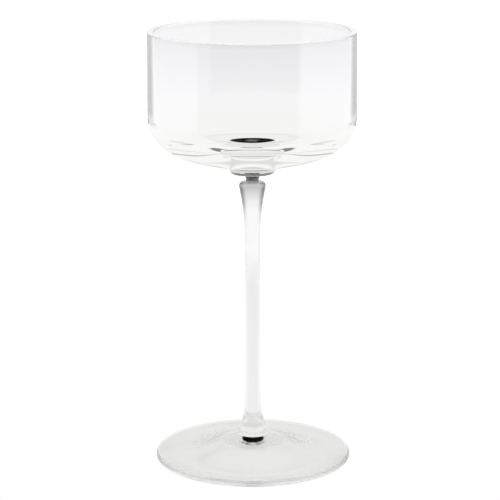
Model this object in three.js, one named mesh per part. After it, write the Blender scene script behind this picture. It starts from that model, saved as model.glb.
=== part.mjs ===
// A stemmed cocktail coupe in clear glass: a straight-sided bowl with a rounded heel and a thick
// base, a bevelled wafer under it, a tapered stem, a flared button and a wide shallow foot.
// Every piece is turned about +Z and stands on the piece below it at a flat fused seat.
import * as THREE from "three";

// Driving dimensions in millimetres, from the lip down to the table.

// Bowl: rim and belly are outside diameters, the lip is rounded down from its crown on both sides, the
// base is the glass under the floor, and the spring is the height above the seat at which the inside
// wall starts to turn into the floor.
const RIM_DIAMETER = 90;
const BELLY_DIAMETER = 90.5;
const BOWL_HEIGHT = 59;
const HEEL_HEIGHT = 22.4;
const LIP_THICKNESS = 2.8;
const LIP_CROWN_INSET = 1;
const LIP_ROUND_HEIGHT = { outside: 0.7, inside: 1.3 };
const WALL_THICKNESS = 3;
const BASE_THICKNESS = 9.3;
const FLOOR_SPRING_HEIGHT = 22.3;

// Merese: the wafer between bowl and stem, with a bevel under its edge.
const MERESE_DIAMETER = 20.4;
const MERESE_UNDERSIDE_DIAMETER = 18.6;
const MERESE_THICKNESS = 3.1;
const MERESE_BEVEL_HEIGHT = 1.2;

// Stem: a neck that flares up to the merese, a domed shoulder and a shaft with a slim waist.
const STEM_LENGTH = 110.4;
const NECK_TOP_DIAMETER = 8.4;
const NECK_WAIST_DIAMETER = 5.5;
const NECK_HEIGHT = 3.8;
const SHOULDER_DIAMETER = 11.7;
const SHOULDER_HEIGHT = 2.1;
const SHAFT_DIAMETER = 6.2;
const SHAFT_WAIST_HEIGHT = 53;
const STEM_BASE_DIAMETER = 7.9;

// Button: the flare that carries the stem on the foot, with a narrow ledge round the end of the stem.
const BUTTON_DIAMETER = 13.4;
const BUTTON_TOP_DIAMETER = 8.7;
const BUTTON_HEIGHT = 8.5;

// Foot: a shallow cone with a rounded edge, hollowed underneath inside a flat resting ring.
const FOOT_DIAMETER = 86.6;
const FOOT_HEIGHT = 10.4;
const FOOT_EDGE_THICKNESS = 2.7;
const RESTING_RING_WIDTH = 5;
const KICK_HEIGHT = 7;

// Rise of the bowl's underside for each millimetre outwards, where it leaves the merese.
const UNDERSIDE_RISE = 0.2;

// Fullness of the curves: the share of a curve's own height or reach that each end runs straight.
const HEEL_FULLNESS = { down: 0.84, inward: 0.34 };
const FLOOR_FULLNESS = { down: 1, inward: 0.55 };
const NECK_FULLNESS = { up: 0.5 };
const SHOULDER_FULLNESS = { inward: 0.45 };
const TAPER_FULLNESS = { shaft: 0.75, shoulder: 0.2, lean: 0.7, base: 0.25 };
const BUTTON_FULLNESS = { up: 0.2, down: 0.45, out: 0.4 };
const FOOT_FULLNESS = { crown: 0.3, slope: 0.5, edge: 0.45, kick: 0.5 };
const ROUND_EDGE = 4 / 3;

// Glass: tints of the pieces, and how smooth and how clear they all are.
const BOWL_TINT = 0xf6f8f8;
const STEM_TINT = 0xf4f5f5;
const FOOT_TINT = 0xf3f5f4;
const GLASS_ROUGHNESS = 0.03;
const GLASS_OPACITY = 0.35;

// Facets: steps round the axis and along each curve of a profile.
const RADIAL_STEPS = 48;
const CURVE_STEPS = 8;

// Points closer than this along a profile are one point.
const SAME_POINT = 1e-6;

// Seat heights, each piece standing on the one below.
const BUTTON_SEAT = FOOT_HEIGHT;
const STEM_SEAT = BUTTON_SEAT + BUTTON_HEIGHT;
const MERESE_SEAT = STEM_SEAT + STEM_LENGTH;
const BOWL_SEAT = MERESE_SEAT + MERESE_THICKNESS;

// Each profile is a path of (radius, height), from the axis below, round the outside, to the axis above.

function bowlProfile() {
  const pad = MERESE_DIAMETER / 2;
  const belly = BELLY_DIAMETER / 2;
  const rim = RIM_DIAMETER / 2;
  const inside = belly - WALL_THICKNESS;
  const lipInside = rim - LIP_THICKNESS;
  const heelReach = (belly - pad) * HEEL_FULLNESS.inward;
  const floorDrop = FLOOR_SPRING_HEIGHT - BASE_THICKNESS;
  const profile = new THREE.Path();
  profile.moveTo(0, 0);
  profile.lineTo(pad, 0);
  profile.bezierCurveTo(
    pad + heelReach, heelReach * UNDERSIDE_RISE,
    belly, HEEL_HEIGHT * (1 - HEEL_FULLNESS.down),
    belly, HEEL_HEIGHT,
  );
  profile.lineTo(rim, BOWL_HEIGHT - LIP_ROUND_HEIGHT.outside);
  profile.quadraticCurveTo(rim, BOWL_HEIGHT, rim - LIP_CROWN_INSET, BOWL_HEIGHT);
  profile.quadraticCurveTo(lipInside, BOWL_HEIGHT, lipInside, BOWL_HEIGHT - LIP_ROUND_HEIGHT.inside);
  profile.lineTo(inside, FLOOR_SPRING_HEIGHT);
  profile.bezierCurveTo(
    inside, FLOOR_SPRING_HEIGHT - floorDrop * FLOOR_FULLNESS.down,
    inside * FLOOR_FULLNESS.inward, BASE_THICKNESS,
    0, BASE_THICKNESS,
  );
  return profile;
}

function mereseProfile() {
  const underside = MERESE_UNDERSIDE_DIAMETER / 2;
  const edge = MERESE_DIAMETER / 2;
  const profile = new THREE.Path();
  profile.moveTo(0, 0);
  profile.lineTo(underside, 0);
  profile.lineTo(edge, MERESE_BEVEL_HEIGHT);
  profile.lineTo(edge, MERESE_THICKNESS);
  profile.lineTo(0, MERESE_THICKNESS);
  return profile;
}

function stemProfile() {
  const base = STEM_BASE_DIAMETER / 2;
  const shaft = SHAFT_DIAMETER / 2;
  const shoulder = SHOULDER_DIAMETER / 2;
  const neckWaist = NECK_WAIST_DIAMETER / 2;
  const neckTop = NECK_TOP_DIAMETER / 2;
  const neckBottom = STEM_LENGTH - NECK_HEIGHT;
  const shoulderBottom = neckBottom - SHOULDER_HEIGHT;
  const upperTaper = shoulderBottom - SHAFT_WAIST_HEIGHT;
  const shoulderLean = (shoulder - shaft) * TAPER_FULLNESS.lean;
  const profile = new THREE.Path();
  profile.moveTo(0, 0);
  profile.lineTo(base, 0);
  profile.bezierCurveTo(
    shaft, SHAFT_WAIST_HEIGHT * TAPER_FULLNESS.base,
    shaft, SHAFT_WAIST_HEIGHT * (1 - TAPER_FULLNESS.shaft),
    shaft, SHAFT_WAIST_HEIGHT,
  );
  profile.bezierCurveTo(
    shaft, SHAFT_WAIST_HEIGHT + upperTaper * TAPER_FULLNESS.shaft,
    shoulder - shoulderLean, shoulderBottom - upperTaper * TAPER_FULLNESS.shoulder,
    shoulder, shoulderBottom,
  );
  profile.bezierCurveTo(
    shoulder, neckBottom,
    neckWaist + (shoulder - neckWaist) * SHOULDER_FULLNESS.inward, neckBottom,
    neckWaist, neckBottom,
  );
  profile.quadraticCurveTo(neckWaist, neckBottom + NECK_HEIGHT * NECK_FULLNESS.up, neckTop, STEM_LENGTH);
  profile.lineTo(0, STEM_LENGTH);
  return profile;
}

function buttonProfile() {
  const edge = BUTTON_DIAMETER / 2;
  const top = BUTTON_TOP_DIAMETER / 2;
  const swell = edge - top;
  const profile = new THREE.Path();
  profile.moveTo(0, 0);
  profile.lineTo(edge, 0);
  profile.bezierCurveTo(
    edge, BUTTON_HEIGHT * BUTTON_FULLNESS.up,
    top + swell * BUTTON_FULLNESS.out, BUTTON_HEIGHT * (1 - BUTTON_FULLNESS.down),
    top, BUTTON_HEIGHT,
  );
  profile.lineTo(0, BUTTON_HEIGHT);
  return profile;
}

function footProfile() {
  const edge = FOOT_EDGE_THICKNESS / 2;
  const rim = FOOT_DIAMETER / 2 - edge;
  const bulge = rim + edge * ROUND_EDGE;
  const crown = BUTTON_DIAMETER / 2;
  const ringInside = rim - RESTING_RING_WIDTH;
  const slopeReach = rim - crown;
  const slopeDrop = FOOT_HEIGHT - FOOT_EDGE_THICKNESS;
  const profile = new THREE.Path();
  profile.moveTo(0, KICK_HEIGHT);
  profile.bezierCurveTo(
    ringInside * FOOT_FULLNESS.kick, KICK_HEIGHT,
    ringInside * (1 - FOOT_FULLNESS.edge), 0,
    ringInside, 0,
  );
  profile.lineTo(rim, 0);
  profile.bezierCurveTo(bulge, 0, bulge, FOOT_EDGE_THICKNESS, rim, FOOT_EDGE_THICKNESS);
  profile.bezierCurveTo(
    rim - slopeReach * FOOT_FULLNESS.edge, FOOT_EDGE_THICKNESS,
    crown + slopeReach * FOOT_FULLNESS.crown, FOOT_HEIGHT - slopeDrop * FOOT_FULLNESS.slope,
    crown, FOOT_HEIGHT,
  );
  profile.lineTo(0, FOOT_HEIGHT);
  return profile;
}

// Turn a profile about +Z into one closed mesh of clear glass and stand it at its seat height.
function turned(name, profile, seat, tint) {
  const points = profile
    .getPoints(CURVE_STEPS)
    .filter((point, i, all) => i === 0 || point.distanceTo(all[i - 1]) > SAME_POINT);
  const geometry = new THREE.LatheGeometry(points, RADIAL_STEPS);
  geometry.rotateX(Math.PI / 2);
  const material = new THREE.MeshStandardMaterial({
    color: tint,
    roughness: GLASS_ROUGHNESS,
    metalness: 0,
    transparent: true,
    opacity: GLASS_OPACITY,
  });
  const mesh = new THREE.Mesh(geometry, material);
  mesh.name = name;
  mesh.position.z = seat;
  return mesh;
}

const glass = new THREE.Group();
glass.add(turned("foot", footProfile(), 0, FOOT_TINT));
glass.add(turned("stem_button", buttonProfile(), BUTTON_SEAT, STEM_TINT));
glass.add(turned("stem", stemProfile(), STEM_SEAT, STEM_TINT));
glass.add(turned("merese", mereseProfile(), MERESE_SEAT, STEM_TINT));
glass.add(turned("bowl", bowlProfile(), BOWL_SEAT, BOWL_TINT));

export default glass;
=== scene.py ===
"""A stemmed cocktail coupe in clear glass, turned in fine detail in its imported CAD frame, in metres."""

import math

import bmesh
import bpy
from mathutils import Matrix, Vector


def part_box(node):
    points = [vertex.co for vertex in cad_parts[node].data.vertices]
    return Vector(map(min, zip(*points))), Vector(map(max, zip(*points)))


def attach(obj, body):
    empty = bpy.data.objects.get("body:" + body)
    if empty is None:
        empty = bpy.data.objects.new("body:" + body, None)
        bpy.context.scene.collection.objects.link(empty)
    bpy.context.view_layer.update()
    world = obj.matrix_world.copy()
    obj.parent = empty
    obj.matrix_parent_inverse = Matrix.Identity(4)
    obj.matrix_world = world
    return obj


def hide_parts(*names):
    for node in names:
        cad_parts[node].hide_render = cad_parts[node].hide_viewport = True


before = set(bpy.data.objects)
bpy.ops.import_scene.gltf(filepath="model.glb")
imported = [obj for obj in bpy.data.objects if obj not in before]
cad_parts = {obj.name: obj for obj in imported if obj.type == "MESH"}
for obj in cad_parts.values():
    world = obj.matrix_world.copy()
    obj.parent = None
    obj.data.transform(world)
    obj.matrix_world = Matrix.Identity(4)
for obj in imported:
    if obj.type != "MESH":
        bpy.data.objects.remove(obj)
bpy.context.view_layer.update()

# Sizes that the CAD boxes give: seat heights and outside radii.

_, foot_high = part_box("foot")
button_low, button_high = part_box("stem_button")
stem_low, stem_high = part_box("stem")
merese_low, merese_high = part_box("merese")
bowl_low, bowl_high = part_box("bowl")

BOWL_SEAT = bowl_low.z
BOWL_TOP = bowl_high.z
BELLY_RADIUS = bowl_high.x
MERESE_SEAT = merese_low.z
MERESE_RADIUS = merese_high.x
STEM_SEAT = stem_low.z
SHOULDER_RADIUS = stem_high.x
BUTTON_SEAT = button_low.z
BUTTON_RADIUS = button_high.x
FOOT_RADIUS = foot_high.x

# Sizes inside those boxes. A fullness is the share of a curve's own height or reach that its ends run
# straight.

RIM_RADIUS = 0.0450
LIP_THICKNESS = 0.0028
LIP_CROWN_INSET = 0.0010
LIP_ROUND_HEIGHT = {"outside": 0.0007, "inside": 0.0013}
WALL_THICKNESS = 0.0030
BASE_THICKNESS = 0.0093
HEEL_HEIGHT = 0.0224
FLOOR_SPRING_HEIGHT = 0.0223
UNDERSIDE_RISE = 0.2
HEEL_FULLNESS = {"down": 0.84, "inward": 0.34}
FLOOR_FULLNESS = {"down": 1.0, "inward": 0.55}

MERESE_UNDERSIDE_RADIUS = 0.0093
MERESE_BEVEL_HEIGHT = 0.0012

NECK_TOP_RADIUS = 0.0042
NECK_WAIST_RADIUS = 0.00275
NECK_HEIGHT = 0.0038
NECK_FULLNESS = 0.5
SHOULDER_HEIGHT = 0.0021
SHOULDER_FULLNESS = 0.45
SHAFT_RADIUS = 0.0031
SHAFT_WAIST_HEIGHT = 0.0530
STEM_BASE_RADIUS = 0.00395
TAPER_FULLNESS = {"shaft": 0.75, "shoulder": 0.2, "lean": 0.7, "base": 0.25}

BUTTON_TOP_RADIUS = 0.00435
BUTTON_FULLNESS = {"up": 0.2, "down": 0.45, "out": 0.4}

FOOT_EDGE_THICKNESS = 0.0027
RESTING_RING_WIDTH = 0.0050
KICK_HEIGHT = 0.0070
FOOT_FULLNESS = {"crown": 0.3, "slope": 0.5, "edge": 0.45, "kick": 0.5}

# How far the leans of a cubic curve reach: past a half round edge, in edge radii, and on the way to the
# corner that a quadratic curve would round.
ROUND_EDGE = 4 / 3
ROUND_CORNER = 2 / 3

# The gap that keeps the faces of two seats apart, and the distance at which two points are one.
SEAT_GAP = 0.00001
SAME_POINT = 1e-8

# Facets: steps round the axis, along a long curve, along a curve and along a small edge.
TURN_STEPS = 256
LONG_CURVE_STEPS = 96
CURVE_STEPS = 48
EDGE_STEPS = 16
SHARP_ANGLE = math.radians(25)

# Glass. A list of tints, gloss, clearness or shares gives heights above the piece's own seat and the value
# at each, and a tint is a grey or a colour; the tints are painted shade on clear glass, and at the lip
# painted highlight too. A glance runs from 0, face on, to 1 along the surface, as the Layer Weight node
# gives it at an even blend.

WHITE = (1.0, 1.0, 1.0, 1.0)
GLASS_IOR = 1.52
EVEN_BLEND = 0.5

# Noise: its scale and detail, the height of its waves, and the range that most of its values lie in.
WAVE_NOISE = {"scale": 22.0, "detail": 1.0}
BOWL_WAVE_HEIGHT = 0.000005
FOOT_WAVE_HEIGHT = 0.000006
NOISE_RANGE = (0.3, 0.7)

# Painted shade on the bowl by height: darker at the heel outside, a grey disc with a darker ring in the
# middle of the floor, and darker up the inside wall towards the lip.
OUTSIDE_PAINTED_SHADE = [
    (0.0, (0.955, 0.955, 0.945)),
    (0.0116, (0.965, 0.965, 0.955)),
    (0.0224, (0.990, 0.990, 0.993)),
    (0.0326, (0.990, 0.990, 0.993)),
    (0.0590, (0.987, 0.987, 0.992)),
]
INSIDE_PAINTED_SHADE = [
    (0.0093, 0.955),
    (0.0095, 0.945),
    (0.00965, 0.88),
    (0.0098, 0.985),
    (0.0116, 0.998),
    (0.0236, 0.998),
    (0.0356, (0.980, 0.980, 0.985)),
    (0.0456, (0.962, 0.962, 0.967)),
    (0.0556, (0.935, 0.935, 0.941)),
    (0.0577, (0.880, 0.880, 0.886)),
]
OUTSIDE_GLOSS = [(0.0, 0.0), (0.0156, 0.0), (0.0256, 1.0), (0.0590, 1.0)]
INSIDE_GLOSS = [(0.0093, 0.0), (0.0224, 0.0), (0.0296, 1.0), (0.0590, 1.0)]

# Light that the wall holds inside it by total reflection: the glances that hold it, from the one at the
# critical angle, and how bright it stays at each share of their depth. The dimming is painted shade: a
# dark band down the sides of the bowl, where the upper wall turns from view.
HOLDING_GLANCE = 1 - math.sqrt(1 - 1 / GLASS_IOR**2)
HOLDING_START = (-0.003, -0.0005)
HOLDING_DEPTH = 0.08
HELD_LIGHT = [(0.0, 1.0), (0.1, 0.72), (0.17, 0.59), (0.325, 0.4), (0.5, 0.27), (0.6, 0.6), (0.75, 1.0)]
HELD_SHARE = [(0.0093, 0.0), (0.0191, 0.0), (0.0256, 1.0), (0.0590, 1.0)]

# Painted shade and painted highlight on the lip: grey where it leaves the inside wall, and a white crown
# that lets little light through, so that it shows as a bright line.
LIP_PAINTED_SHADE_AND_HIGHLIGHT = [(0.0577, 0.80), (0.0582, 0.92), (0.0586, 0.985), (0.0590, 0.985)]
LIP_CLEARNESS_FOR_HIGHLIGHT = [(0.0577, 1.0), (0.0582, 0.7), (0.0585, 0.15), (0.0590, 0.15)]
LIP_ROUGHNESS = 0.05

# Painted shade on the foot: its glass greyed all over, and only faintly at its rounded edge.
FOOT_PAINTED_SHADE = ((0.86, 0.86, 0.85), (0.88, 0.88, 0.87))
FOOT_EDGE_PAINTED_SHADE = ((0.98, 0.98, 0.97), (1.0, 1.0, 0.99))
FOOT_DRIFT_NOISE = {"scale": 30.0, "detail": 2.0}
FOOT_DRIFT_RANGE = (0.35, 0.65)
FOOT_ROUGHNESS = (0.0, 0.25)

# Painted shade on the stem, by height: grey low on the shaft, clear through its middle, and dark at the
# shoulder and neck; and apart at the edges of the shoulder, as they turn from view.
STEM_HEART_PAINTED_SHADE = [
    (0.0, 0.86),
    (0.0591, 0.83),
    (0.0691, 0.92),
    (0.0751, 1.0),
    (0.0931, 0.97),
    (0.0981, 0.88),
    (0.1016, 0.72),
    (0.1041, 0.58),
    (0.1061, 0.45),
    (0.1066, 0.11),
    (0.1104, 0.09),
]
STEM_EDGE_PAINTED_SHADE = [
    (0.0, 1.0),
    (0.0861, 0.95),
    (0.0911, 0.70),
    (0.0971, 0.15),
    (0.1041, 0.05),
    (0.1061, 0.30),
    (0.1066, 0.11),
    (0.1104, 0.09),
]
STEM_EDGE_GLANCE = (0.12, 0.5)
STEM_ROUGHNESS = (0.10, 0.12)
STREAK_STRETCH = (300.0, 300.0, 15.0)
STREAK_NOISE = {"scale": 1.0, "detail": 1.0}
# Painted shade on the merese: dark at its bevelled underside and grey above.
MERESE_PAINTED_SHADE = [(0.0, 0.24), (0.0012, 0.40), (0.0014, 0.62), (0.0031, 0.68)]
MERESE_ROUGHNESS = (0.08, 0.10)
# Painted shade on the button: faintly grey, a little darker at its top.
BUTTON_PAINTED_SHADE = [(0.0, 0.95), (0.0081, 0.97), (0.0085, 0.90)]
BUTTON_ROUGHNESS = (0.18, 0.22)

# Dark seats, painted shade: a dark film on a fused seat, seen from one side only, where the glass shows
# shade, with a warm painted glint in the middle of the bowl's. Tints run from the axis outwards, as shares
# of the seat's radius, and then the glances at which the seat turns from a film into a mirror.
WARM_PAINTED_GLINT = (0.5, 0.46, 0.33)
DARK = 0.004
BOWL_JOINT_PAINTED_SHADE = [(0.0, WARM_PAINTED_GLINT), (0.27, WARM_PAINTED_GLINT), (0.32, DARK), (0.94, DARK), (0.97, 1.0)]
BOWL_JOINT_MIRROR = (0.27, 0.32)
BUTTON_JOINT_PAINTED_SHADE = [(0.0, DARK), (0.64, DARK), (0.68, 1.0)]
BUTTON_JOINT_MIRROR = (0.60, 0.70)
SEAT_GLOSS = (0.9, 0.9, 0.9, 1.0)

# Light: a white studio whose camera side is dark, above a white table. Angles are in degrees, and each
# dim bar behind the glass has the height of its middle, half its width and how much light it takes. Its
# edges are soft by a share of that half.

TABLE_RADIUS = 0.38
TABLE_DROP = 0.0002
BACKDROP_LIGHT = 1.2
STUDIO_LIGHT = 1.0
DARK_SIDE = {"left": -62, "right": 52, "high": 60, "soft": 4}
DARK_SIDE_LOW = {"mirrored": -30, "through": 8}
DARK_SIDE_LIGHT = {"mirrored": 0.03, "low": 0.03, "high": 0.6}
DARK_SIDE_RISE = 10
DIM_BARS_HALF_WIDTH = 60
DIM_BAR_SOFTNESS = 0.5
DIM_BARS = [(-15.5, 1.8, 0.15), (0, 1.5, 0.40), (10.5, 1.2, 0.20), (34, 4, 0.75)]
LIGHT_BOUNCES = 24

# Camera, at the photograph's angle, for an image 500 pixels wide. The sensor is in millimetres.

CAMERA_PLACE = (-0.00111, -0.83478, 0.29345)
CAMERA_DIP = math.radians(13.3966)
CAMERA_ROLL = math.radians(-0.15)
FOCAL_PIXELS = 1953.43
IMAGE_PIXELS = 500
SENSOR_WIDTH = 36


def between(start, end, share):
    """The point at a share of the way from one point to another."""
    return tuple(a + (b - a) * share for a, b in zip(start, end))


class Profile:
    """A path of (radius, height) from the axis below to the axis above, each stretch with its zone."""

    def __init__(self, radius, height):
        self.points = [(radius, height)]
        self.zones = []

    def _add(self, zone, points):
        for point in points:
            if math.dist(point, self.points[-1]) > SAME_POINT:
                self.points.append(point)
                self.zones.append(zone)

    def line(self, zone, radius, height, steps=1):
        start = self.points[-1]
        self._add(zone, [between(start, (radius, height), step / steps) for step in range(1, steps + 1)])

    def curve(self, zone, lean_start, lean_end, end, steps=CURVE_STEPS):
        """A cubic curve, which leaves and arrives towards its two leans."""
        corners = (self.points[-1], lean_start, lean_end, end)
        points = []
        for step in range(1, steps + 1):
            t = step / steps
            weights = ((1 - t) ** 3, 3 * (1 - t) ** 2 * t, 3 * (1 - t) * t * t, t**3)
            radius = sum(weight * corner[0] for weight, corner in zip(weights, corners))
            height = sum(weight * corner[1] for weight, corner in zip(weights, corners))
            points.append((radius, height))
        self._add(zone, points)

    def round(self, zone, corner, end, steps=EDGE_STEPS):
        """A quadratic curve, which rounds one corner."""
        lean_start = between(self.points[-1], corner, ROUND_CORNER)
        lean_end = between(end, corner, ROUND_CORNER)
        self.curve(zone, lean_start, lean_end, end, steps)


def bowl_profile():
    inside = BELLY_RADIUS - WALL_THICKNESS
    lip_inside = RIM_RADIUS - LIP_THICKNESS
    heel_top = BOWL_SEAT + HEEL_HEIGHT
    heel_reach = (BELLY_RADIUS - MERESE_RADIUS) * HEEL_FULLNESS["inward"]
    spring = BOWL_SEAT + FLOOR_SPRING_HEIGHT
    floor = BOWL_SEAT + BASE_THICKNESS
    profile = Profile(0, BOWL_SEAT)
    profile.line("joint", MERESE_RADIUS, BOWL_SEAT)
    profile.curve(
        "outside",
        (MERESE_RADIUS + heel_reach, BOWL_SEAT + heel_reach * UNDERSIDE_RISE),
        (BELLY_RADIUS, heel_top - HEEL_HEIGHT * HEEL_FULLNESS["down"]),
        (BELLY_RADIUS, heel_top),
        LONG_CURVE_STEPS,
    )
    profile.line("outside", RIM_RADIUS, BOWL_TOP - LIP_ROUND_HEIGHT["outside"], CURVE_STEPS)
    profile.round("lip", (RIM_RADIUS, BOWL_TOP), (RIM_RADIUS - LIP_CROWN_INSET, BOWL_TOP))
    profile.round("lip", (lip_inside, BOWL_TOP), (lip_inside, BOWL_TOP - LIP_ROUND_HEIGHT["inside"]))
    profile.line("inside", inside, spring, CURVE_STEPS)
    profile.curve(
        "inside",
        (inside, spring - (spring - floor) * FLOOR_FULLNESS["down"]),
        (inside * FLOOR_FULLNESS["inward"], floor),
        (0, floor),
        LONG_CURVE_STEPS,
    )
    return profile


def merese_profile():
    top = BOWL_SEAT - SEAT_GAP
    profile = Profile(0, MERESE_SEAT)
    profile.line("seat", NECK_TOP_RADIUS, MERESE_SEAT)
    profile.line("wall", MERESE_UNDERSIDE_RADIUS, MERESE_SEAT)
    profile.line("wall", MERESE_RADIUS, MERESE_SEAT + MERESE_BEVEL_HEIGHT)
    profile.line("wall", MERESE_RADIUS, top)
    profile.line("seat", 0, top)
    return profile


def stem_profile():
    top = MERESE_SEAT - SEAT_GAP
    neck = MERESE_SEAT - NECK_HEIGHT
    shoulder = neck - SHOULDER_HEIGHT
    waist = STEM_SEAT + SHAFT_WAIST_HEIGHT
    taper = shoulder - waist
    lean = (SHOULDER_RADIUS - SHAFT_RADIUS) * TAPER_FULLNESS["lean"]
    dome = NECK_WAIST_RADIUS + (SHOULDER_RADIUS - NECK_WAIST_RADIUS) * SHOULDER_FULLNESS
    profile = Profile(0, STEM_SEAT)
    profile.line("seat", STEM_BASE_RADIUS, STEM_SEAT)
    profile.curve(
        "wall",
        (SHAFT_RADIUS, STEM_SEAT + SHAFT_WAIST_HEIGHT * TAPER_FULLNESS["base"]),
        (SHAFT_RADIUS, waist - SHAFT_WAIST_HEIGHT * TAPER_FULLNESS["shaft"]),
        (SHAFT_RADIUS, waist),
    )
    profile.curve(
        "wall",
        (SHAFT_RADIUS, waist + taper * TAPER_FULLNESS["shaft"]),
        (SHOULDER_RADIUS - lean, shoulder - taper * TAPER_FULLNESS["shoulder"]),
        (SHOULDER_RADIUS, shoulder),
    )
    profile.curve("wall", (SHOULDER_RADIUS, neck), (dome, neck), (NECK_WAIST_RADIUS, neck), EDGE_STEPS)
    profile.round("wall", (NECK_WAIST_RADIUS, neck + NECK_HEIGHT * NECK_FULLNESS), (NECK_TOP_RADIUS, top))
    profile.line("seat", 0, top)
    return profile


def button_profile():
    top = STEM_SEAT - SEAT_GAP
    height = top - BUTTON_SEAT
    swell = BUTTON_RADIUS - BUTTON_TOP_RADIUS
    profile = Profile(0, BUTTON_SEAT)
    profile.line("joint", BUTTON_RADIUS, BUTTON_SEAT)
    profile.curve(
        "wall",
        (BUTTON_RADIUS, BUTTON_SEAT + height * BUTTON_FULLNESS["up"]),
        (BUTTON_TOP_RADIUS + swell * BUTTON_FULLNESS["out"], top - height * BUTTON_FULLNESS["down"]),
        (BUTTON_TOP_RADIUS, top),
    )
    profile.line("wall", STEM_BASE_RADIUS, top)
    profile.line("seat", 0, top)
    return profile


def foot_profile():
    top = BUTTON_SEAT - SEAT_GAP
    edge = FOOT_EDGE_THICKNESS / 2
    rim = FOOT_RADIUS - edge
    bulge = rim + edge * ROUND_EDGE
    ring = rim - RESTING_RING_WIDTH
    reach = rim - BUTTON_RADIUS
    drop = top - FOOT_EDGE_THICKNESS
    profile = Profile(0, KICK_HEIGHT)
    profile.curve(
        "wall",
        (ring * FOOT_FULLNESS["kick"], KICK_HEIGHT),
        (ring * (1 - FOOT_FULLNESS["edge"]), 0),
        (ring, 0),
    )
    profile.line("wall", rim, 0)
    profile.curve(
        "edge",
        (bulge, 0),
        (bulge, FOOT_EDGE_THICKNESS),
        (rim, FOOT_EDGE_THICKNESS),
        EDGE_STEPS,
    )
    profile.curve(
        "slope",
        (rim - reach * FOOT_FULLNESS["edge"], FOOT_EDGE_THICKNESS),
        (BUTTON_RADIUS + reach * FOOT_FULLNESS["crown"], top - drop * FOOT_FULLNESS["slope"]),
        (BUTTON_RADIUS, top),
    )
    profile.line("seat", 0, top)
    return profile


def turned(name, profile, materials):
    """One closed body of revolution, with a material for each zone of its profile."""
    body = bmesh.new()
    rings = []
    for radius, height in profile.points:
        count = TURN_STEPS if radius > SAME_POINT else 1
        ring = []
        for step in range(count):
            turn = 2 * math.pi * step / TURN_STEPS
            ring.append(body.verts.new((radius * math.sin(turn), -radius * math.cos(turn), height)))
        rings.append(ring)
    zones = list(materials)
    for low, high, zone in zip(rings, rings[1:], profile.zones):
        for step in range(TURN_STEPS):
            after = (step + 1) % TURN_STEPS
            if len(low) == 1:
                corners = (low[0], high[after], high[step])
            elif len(high) == 1:
                corners = (low[step], low[after], high[0])
            else:
                corners = (low[step], low[after], high[after], high[step])
            face = body.faces.new(corners)
            face.smooth = True
            face.material_index = zones.index(zone)
    mesh = bpy.data.meshes.new(name)
    body.to_mesh(mesh)
    body.free()
    mesh.set_sharp_from_angle(angle=SHARP_ANGLE)
    for zone in zones:
        mesh.materials.append(materials[zone])
    piece = bpy.data.objects.new(name, mesh)
    bpy.context.scene.collection.objects.link(piece)
    return piece


class Nodes:
    """A short way to write the node tree of a material or a world.

    A Mix node keeps sockets of its own for each kind of value: 2 and 3 take numbers, 6 and 7 take colours.
    """

    def __init__(self, owner):
        owner.use_nodes = True
        self.tree = owner.node_tree
        self.tree.nodes.clear()

    def add(self, kind, inputs=None, **settings):
        node = self.tree.nodes.new("ShaderNode" + kind)
        for key, value in settings.items():
            setattr(node, key, value)
        for key, value in (inputs or {}).items():
            if isinstance(value, bpy.types.NodeSocket):
                self.tree.links.new(value, node.inputs[key])
            else:
                node.inputs[key].default_value = value
        return node

    def place(self):
        """The place on the piece, in metres from the middle of the resting ring."""
        return self.add("TexCoord").outputs["Object"]

    def math(self, operation, *values):
        return self.add("Math", dict(enumerate(values)), operation=operation).outputs[0]

    def product(self, first, *others):
        for other in others:
            first = self.math("MULTIPLY", first, other)
        return first

    def rest(self, share):
        """What a share leaves of the whole."""
        return self.math("SUBTRACT", 1.0, share)

    def spread(self, value, low, high, to_low=0.0, to_high=1.0, smooth=False):
        limits = {"From Min": low, "From Max": high, "To Min": to_low, "To Max": to_high}
        kind = "SMOOTHSTEP" if smooth else "LINEAR"
        return self.add("MapRange", {"Value": value, **limits}, interpolation_type=kind).outputs[0]

    def mix(self, share, first, second):
        """A number that passes from one into another."""
        return self.add("Mix", {0: share, 2: first, 3: second}).outputs[0]

    def blend(self, share, first, second):
        """A colour that passes from one into another."""
        return self.add("Mix", {0: share, 6: first, 7: second}, data_type="RGBA").outputs[2]

    def join(self, share, first, second):
        """A shader that passes from one into another."""
        return self.add("MixShader", {0: share, 1: first, 2: second}).outputs[0]

    def glance(self, **inputs):
        """How far the view leans away from facing the surface."""
        return self.add("LayerWeight", {"Blend": EVEN_BLEND, **inputs}).outputs["Facing"]

    def noise(self, place, scale, detail):
        return self.add("TexNoise", {"Vector": place, "Scale": scale, "Detail": detail}).outputs[0]

    def ramp(self, value, stops):
        node = self.add("ValToRGB", {"Fac": value})
        elements = node.color_ramp.elements
        for place, _ in stops[1:-1]:
            elements.new(place)
        for element, (place, tint) in zip(elements, stops):
            colour = tint if isinstance(tint, tuple) else (tint, tint, tint)
            element.position = place
            element.color = (*colour, 1)
        return node.outputs["Color"]

    def height_ramp(self, place, seat, stops):
        """A tint that changes with the height above a seat."""
        height = self.add("SeparateXYZ", {0: place}).outputs["Z"]
        low, high = stops[0][0], stops[-1][0]
        shares = [((rise - low) / (high - low), tint) for rise, tint in stops]
        return self.ramp(self.spread(height, seat + low, seat + high), shares)

    def waviness(self, place, height):
        """The faint unevenness of a fire-polished surface, as a normal."""
        waves = self.noise(place, **WAVE_NOISE)
        return self.add("Bump", {"Height": waves, "Strength": 1.0, "Distance": height}).outputs[0]

    def output(self, kind, shader):
        self.add("Output" + kind, {"Surface": shader})


def new_material(name):
    material = bpy.data.materials.new(name)
    return material, Nodes(material)


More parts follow.
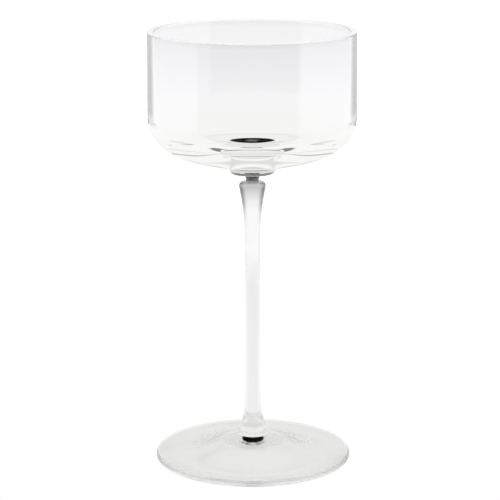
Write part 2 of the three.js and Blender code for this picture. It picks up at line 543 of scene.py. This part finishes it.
def clear_glass(nodes, colour, normal, gloss=0.0, held_share=None):
    """Still clear glass, with gloss outside, and inside it a mirror whose light is dimmed at a long glance
    as painted shade.
    """
    glance = nodes.glance(Normal=normal)
    within = nodes.add("NewGeometry").outputs["Backfacing"]
    held = nodes.spread(glance, *(HOLDING_GLANCE + start for start in HOLDING_START))
    if gloss:
        fresnel = nodes.add("Fresnel", {"IOR": GLASS_IOR, "Normal": normal}).outputs[0]
        gloss = nodes.product(fresnel, gloss)
    tint = WHITE
    if held_share:
        painted_dimming = nodes.ramp(nodes.spread(glance, HOLDING_GLANCE, HOLDING_GLANCE + HOLDING_DEPTH), HELD_LIGHT)
        tint = nodes.blend(nodes.product(within, held_share), WHITE, painted_dimming)
    surface = {"Roughness": 0.0, "Normal": normal}
    through = nodes.add("BsdfRefraction", {"Color": colour, "IOR": GLASS_IOR, **surface}).outputs[0]
    mirrored = nodes.add("BsdfGlossy", {"Color": tint, **surface}).outputs[0]
    return nodes.join(nodes.mix(within, gloss, held), through, mirrored)


def bowl_glass(name, painted_tints, gloss_stops, held_stops=None):
    """Glass of the bowl: its painted shade, its gloss and the painted dimming of the light it holds follow
    the height.
    """
    material, nodes = new_material(name)
    place = nodes.place()
    colour = nodes.height_ramp(place, BOWL_SEAT, painted_tints)
    gloss = nodes.height_ramp(place, BOWL_SEAT, gloss_stops)
    held = nodes.height_ramp(place, BOWL_SEAT, held_stops) if held_stops else None
    normal = nodes.waviness(place, BOWL_WAVE_HEIGHT)
    nodes.output("Material", clear_glass(nodes, colour, normal, gloss, held))
    return material


def lip_glass(name):
    """The fire-polished lip: clear where it leaves the wall, with painted shade there, and white at its
    crown as a painted highlight.
    """
    material, nodes = new_material(name)
    place = nodes.place()
    shader = nodes.add("BsdfPrincipled", {
        "Base Color": nodes.height_ramp(place, BOWL_SEAT, LIP_PAINTED_SHADE_AND_HIGHLIGHT),
        "Roughness": LIP_ROUGHNESS,
        "IOR": GLASS_IOR,
        "Transmission Weight": nodes.height_ramp(place, BOWL_SEAT, LIP_CLEARNESS_FOR_HIGHLIGHT),
        "Normal": nodes.waviness(place, BOWL_WAVE_HEIGHT),
    })
    nodes.output("Material", shader.outputs[0])
    return material


def foot_glass(name, painted_tints, still):
    """Glass of the foot, greyed by painted shade with a faint random drift, and either still or of a
    polish that drifts too.
    """
    material, nodes = new_material(name)
    place = nodes.place()
    drift = nodes.noise(place, **FOOT_DRIFT_NOISE)
    colour = nodes.ramp(drift, list(zip(FOOT_DRIFT_RANGE, painted_tints)))
    normal = nodes.waviness(place, FOOT_WAVE_HEIGHT)
    if still:
        shader = clear_glass(nodes, colour, normal)
    else:
        shader = nodes.add("BsdfPrincipled", {
            "Base Color": colour,
            "Roughness": nodes.spread(drift, *NOISE_RANGE, *FOOT_ROUGHNESS),
            "IOR": GLASS_IOR,
            "Transmission Weight": 1.0,
            "Normal": normal,
        }).outputs[0]
    nodes.output("Material", shader)
    return material


def stem_glass(name, roughness, seat, painted_tints, painted_edge_shade=None):
    """Glass of the stem, softly drawn, with painted shade by height, and painted shade at its edges,
    apart, where given.
    """
    material, nodes = new_material(name)
    place = nodes.place()
    colour = nodes.height_ramp(place, seat, painted_tints)
    if painted_edge_shade:
        edge = nodes.spread(nodes.glance(), *STEM_EDGE_GLANCE, smooth=True)
        colour = nodes.blend(edge, colour, nodes.height_ramp(place, seat, painted_edge_shade))
    drawn = nodes.add("Mapping", {"Vector": place, "Scale": STREAK_STRETCH}).outputs[0]
    streaks = nodes.noise(drawn, **STREAK_NOISE)
    shader = nodes.add("BsdfPrincipled", {
        "Base Color": colour,
        "Roughness": nodes.spread(streaks, *NOISE_RANGE, *roughness),
        "IOR": GLASS_IOR,
        "Transmission Weight": 1.0,
    })
    nodes.output("Material", shader.outputs[0])
    return material


def open_seat(name):
    """A fused seat with nothing to see: light goes straight through."""
    material, nodes = new_material(name)
    nodes.output("Material", nodes.add("BsdfTransparent").outputs[0])
    return material


def painted_shade_seat(name, radius, painted_tints, mirror, from_inside):
    """A fused seat painted dark from one side as painted shade, which turns into a mirror at a long
    glance.
    """
    material, nodes = new_material(name)
    flat = nodes.add("VectorMath", {0: nodes.place(), 1: (1, 1, 0)}, operation="MULTIPLY").outputs[0]
    reach = nodes.add("VectorMath", {0: flat}, operation="LENGTH").outputs["Value"]
    tint = nodes.ramp(nodes.spread(reach, 0, radius), painted_tints)
    painted_shade_film = nodes.add("BsdfTransparent", {"Color": tint}).outputs[0]
    gloss = nodes.add("BsdfGlossy", {"Color": SEAT_GLOSS, "Roughness": 0.0}).outputs[0]
    shown = nodes.join(nodes.spread(nodes.glance(), *mirror), painted_shade_film, gloss)
    clear = nodes.add("BsdfTransparent").outputs[0]
    outer, inner = (clear, shown) if from_inside else (shown, clear)
    nodes.output("Material", nodes.join(nodes.add("NewGeometry").outputs["Backfacing"], outer, inner))
    return material


def make_pieces():
    seat = open_seat("fused_seat")
    bowl_zones = {
        "outside": bowl_glass("bowl_outside_glass", OUTSIDE_PAINTED_SHADE, OUTSIDE_GLOSS),
        "lip": lip_glass("bowl_lip_glass"),
        "inside": bowl_glass("bowl_inside_glass", INSIDE_PAINTED_SHADE, INSIDE_GLOSS, HELD_SHARE),
        "joint": painted_shade_seat(
            "bowl_joint_painted_shade", MERESE_RADIUS, BOWL_JOINT_PAINTED_SHADE, BOWL_JOINT_MIRROR, from_inside=True
        ),
    }
    merese_zones = {
        "wall": stem_glass("merese_glass", MERESE_ROUGHNESS, MERESE_SEAT, MERESE_PAINTED_SHADE),
        "seat": seat,
    }
    stem_zones = {
        "wall": stem_glass("stem_glass", STEM_ROUGHNESS, STEM_SEAT, STEM_HEART_PAINTED_SHADE, STEM_EDGE_PAINTED_SHADE),
        "seat": seat,
    }
    button_zones = {
        "wall": stem_glass("button_glass", BUTTON_ROUGHNESS, BUTTON_SEAT, BUTTON_PAINTED_SHADE),
        "seat": seat,
        "joint": painted_shade_seat(
            "button_joint_painted_shade", BUTTON_RADIUS, BUTTON_JOINT_PAINTED_SHADE, BUTTON_JOINT_MIRROR, from_inside=False
        ),
    }
    foot_zones = {
        "wall": foot_glass("foot_glass", FOOT_PAINTED_SHADE, still=False),
        "edge": foot_glass("foot_edge_glass", FOOT_EDGE_PAINTED_SHADE, still=False),
        "slope": foot_glass("foot_slope_glass", FOOT_PAINTED_SHADE, still=True),
        "seat": seat,
    }
    pieces = [
        ("foot_turned", "foot", "foot_glass", foot_profile(), foot_zones),
        ("button_turned", "stem_button", "stem_glass", button_profile(), button_zones),
        ("stem_turned", "stem", "stem_glass", stem_profile(), stem_zones),
        ("merese_turned", "merese", "stem_glass", merese_profile(), merese_zones),
        ("bowl_turned", "bowl", "bowl_glass", bowl_profile(), bowl_zones),
    ]
    for name, node, slot, profile, zones in pieces:
        piece = turned(name, profile, zones)
        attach(piece, "root")
        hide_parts(node)


def make_table():
    mesh = bpy.data.meshes.new("table")
    disc = bmesh.new()
    bmesh.ops.create_circle(disc, cap_ends=True, segments=TURN_STEPS, radius=TABLE_RADIUS)
    disc.to_mesh(mesh)
    disc.free()
    table = bpy.data.objects.new("table", mesh)
    table.location.z = -TABLE_DROP
    bpy.context.scene.collection.objects.link(table)
    material, nodes = new_material("table_white")
    nodes.output("Material", nodes.add("Emission", {"Color": WHITE, "Strength": STUDIO_LIGHT}).outputs[0])
    mesh.materials.append(material)


def make_light():
    world = bpy.data.worlds.new("studio")
    bpy.context.scene.world = world
    nodes = Nodes(world)
    x, y, z = nodes.add("SeparateXYZ", {0: nodes.add("TexCoord").outputs["Generated"]}).outputs
    in_front = nodes.math("ARCTAN2", x, nodes.product(y, -1.0))
    behind = nodes.math("ARCTAN2", x, y)
    height = nodes.math("ARCSINE", z)
    path = nodes.add("LightPath").outputs
    through = path["Is Transmission Ray"]
    turned_back = nodes.math("GREATER_THAN", path["Glossy Depth"], 0)

    def band(angle, low, high, soft):
        rise = nodes.spread(angle, math.radians(low - soft), math.radians(low + soft), smooth=True)
        fall = nodes.spread(angle, math.radians(high + soft), math.radians(high - soft), smooth=True)
        return nodes.product(rise, fall)

    def dark_height(way):
        return band(height, DARK_SIDE_LOW[way], DARK_SIDE["high"], DARK_SIDE["soft"])

    dark_width = band(in_front, DARK_SIDE["left"], DARK_SIDE["right"], DARK_SIDE["soft"])
    dark_side = nodes.product(
        dark_width, nodes.mix(turned_back, dark_height("through"), dark_height("mirrored"))
    )
    rise = nodes.spread(
        height, 0, math.radians(DARK_SIDE_RISE), DARK_SIDE_LIGHT["low"], DARK_SIDE_LIGHT["high"]
    )
    kept = nodes.mix(through, DARK_SIDE_LIGHT["mirrored"], rise)
    loss = nodes.product(dark_side, nodes.rest(kept), nodes.rest(path["Is Diffuse Ray"]))

    bars_width = band(behind, -DIM_BARS_HALF_WIDTH, DIM_BARS_HALF_WIDTH, DARK_SIDE["soft"])
    bars_seen = nodes.product(bars_width, through, turned_back)
    for middle, half, dimming in DIM_BARS:
        bar = band(height, middle - half, middle + half, half * DIM_BAR_SOFTNESS)
        loss = nodes.math("MAXIMUM", loss, nodes.product(bar, dimming, bars_seen))

    studio = nodes.product(nodes.rest(loss), STUDIO_LIGHT)
    backdrop = nodes.product(path["Is Camera Ray"], BACKDROP_LIGHT)
    light = nodes.add("Background", {"Color": WHITE, "Strength": nodes.math("MAXIMUM", studio, backdrop)})
    nodes.output("World", light.outputs[0])


def make_camera():
    data = bpy.data.cameras.new("camera")
    data.sensor_width = SENSOR_WIDTH
    data.lens = SENSOR_WIDTH * FOCAL_PIXELS / IMAGE_PIXELS
    camera = bpy.data.objects.new("camera", data)
    camera.location = CAMERA_PLACE
    camera.rotation_euler.x = math.pi / 2 - CAMERA_DIP
    camera.rotation_euler.rotate_axis("Z", CAMERA_ROLL)
    bpy.context.scene.collection.objects.link(camera)
    bpy.context.scene.camera = camera


def set_view_and_bounces():
    """White stays white, and light goes on through every wall of the glass without being blurred."""
    scene = bpy.context.scene
    scene.view_settings.view_transform = "Standard"
    for limit in ("max_bounces", "transmission_bounces", "glossy_bounces", "transparent_max_bounces"):
        setattr(scene.cycles, limit, LIGHT_BOUNCES)
    scene.cycles.blur_glossy = 0


make_pieces()
make_table()
make_light()
make_camera()
set_view_and_bounces()
